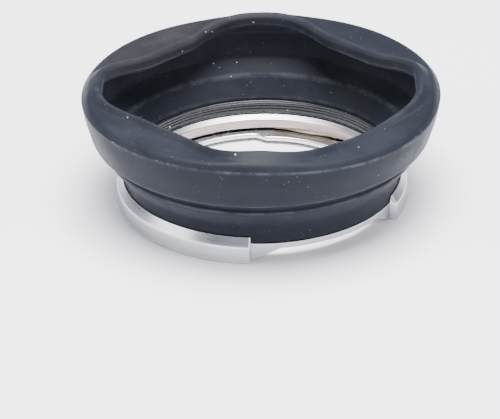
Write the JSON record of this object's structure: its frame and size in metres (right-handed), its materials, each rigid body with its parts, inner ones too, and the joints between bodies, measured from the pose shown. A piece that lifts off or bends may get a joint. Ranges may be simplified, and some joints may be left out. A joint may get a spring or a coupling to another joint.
{
  "type": "lens shade",
  "caption": "Collapsible black rubber lens shade with a rounded-square opening, on a satin aluminium bayonet mounting ring with a cut-away for a twin-lens camera.",
  "frame": {"origin": "centre of the mounting ring's bottom face, where the ring meets the lens", "axes": "+Z along the optical axis, from the lens towards the subject; +X and +Y through two corners of the squared opening; the ring's cut-away is centred 60 degrees from +X towards -Y"},
  "size_m": [0.058, 0.058, 0.0211],
  "materials": {
    "satin_aluminium": "satin turned aluminium with fine scratches",
    "bright_steel": "bright stamped steel",
    "spring_bronze": "rolled spring bronze",
    "black_anodised": "glossy black anodised thread",
    "black_rubber": "moulded rubber with a soft dusty sheen"
  },
  "bodies": {
    "mount": {"mount_ring": "satin_aluminium", "bayonet_plate": "bright_steel", "plate_screw_1": "bright_steel", "plate_screw_2": "bright_steel", "plate_screw_3": "bright_steel", "lock_spring_1": "spring_bronze", "lock_spring_2": "spring_bronze", "thread_ring": "black_anodised"},
    "shade_base": {"rubber_collar": "black_rubber", "rubber_fold": "black_rubber"},
    "shade_front": {"rubber_rim": "black_rubber"}
  },
  "joints": [
    {"name": "hood_turn", "type": "hinge", "parent": "mount", "child": "shade_base", "pos_m": [0, 0, 0.003], "axis": [0, 0, 1], "continuous": true},
    {"name": "hood_collapse", "type": "slide", "parent": "shade_base", "child": "shade_front", "axis": [0, 0, -1], "range_m": [0, 0.0065], "deforming": ["rubber_fold"]}
  ]
}
